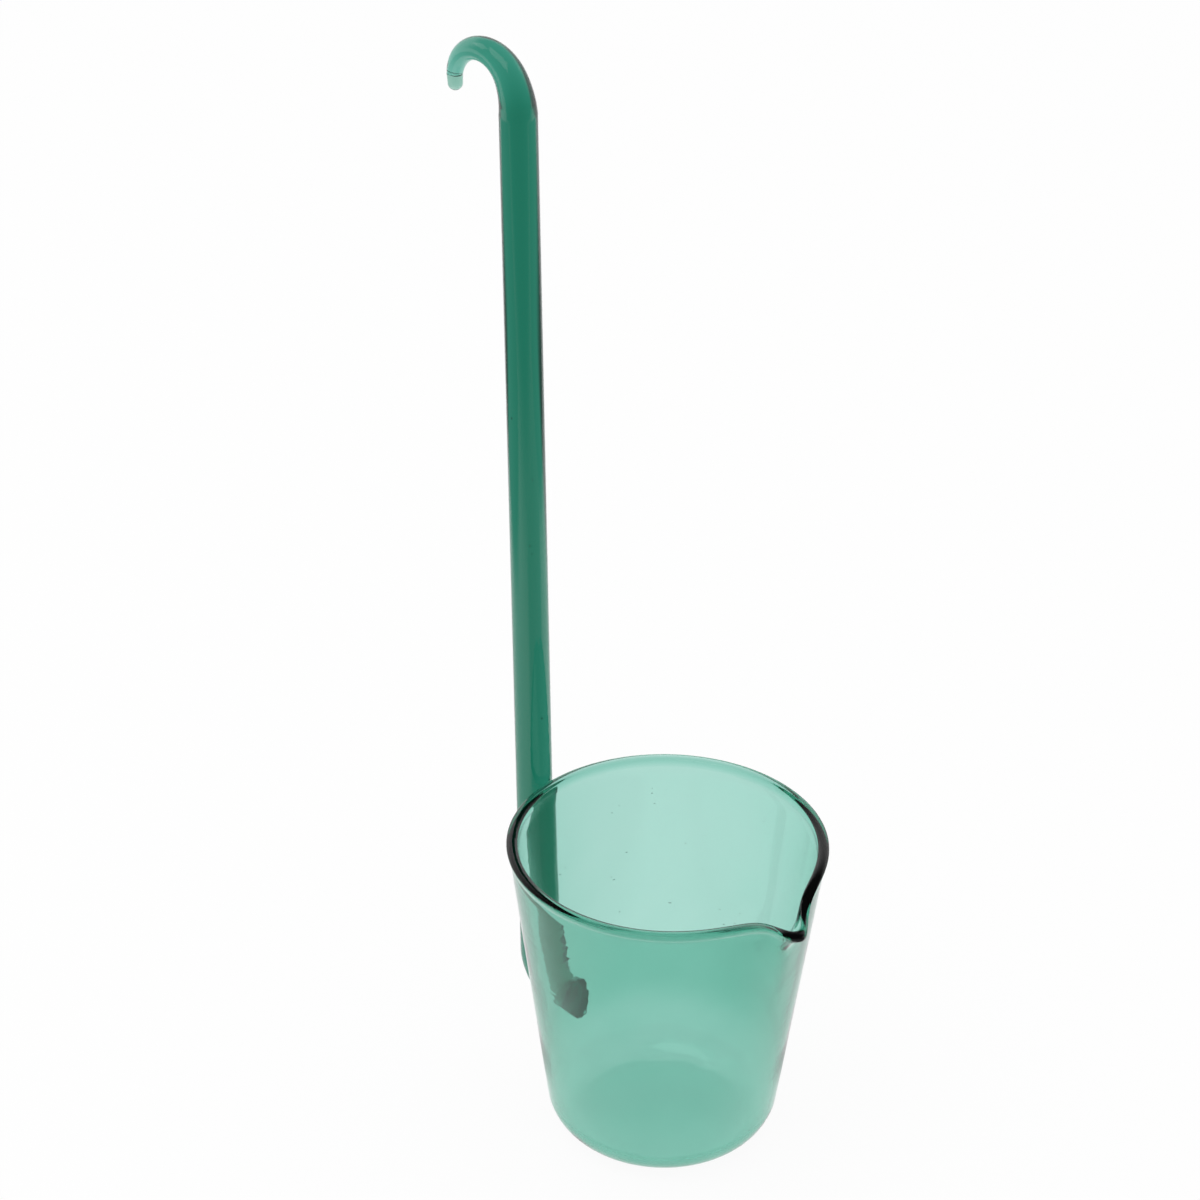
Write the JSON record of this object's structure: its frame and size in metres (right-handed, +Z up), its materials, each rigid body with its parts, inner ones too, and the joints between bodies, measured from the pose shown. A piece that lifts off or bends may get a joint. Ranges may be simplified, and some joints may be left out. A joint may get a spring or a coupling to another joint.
{
  "type": "glass punch ladle",
  "caption": "Free-standing punch ladle of clear green glass: flaring cup with a drawn pouring lip and a tall rod handle hooked at the top and welded to the cup's wall at its foot.",
  "frame": {"origin": "centre of the cup's flat base, on the surface it stands on", "axes": "+Z up along the cup's axis, +X toward the pouring lip with the handle on the -X side, +Y to the left of someone looking along +X"},
  "size_m": [0.1044, 0.072, 0.2536],
  "materials": {
    "cup_glass": "polished, clear blue-green",
    "rod_glass": "polished, clear deep blue-green",
    "tip_glass": "fire-polished, pale blue-green",
    "weld_glass": "fire-polished, uneven, clear blue-green"
  },
  "bodies": {
    "root": {"cup": "cup_glass", "handle_rod": "rod_glass", "tip_bead": "tip_glass", "foot_weld": "weld_glass"}
  },
  "joints": []
}
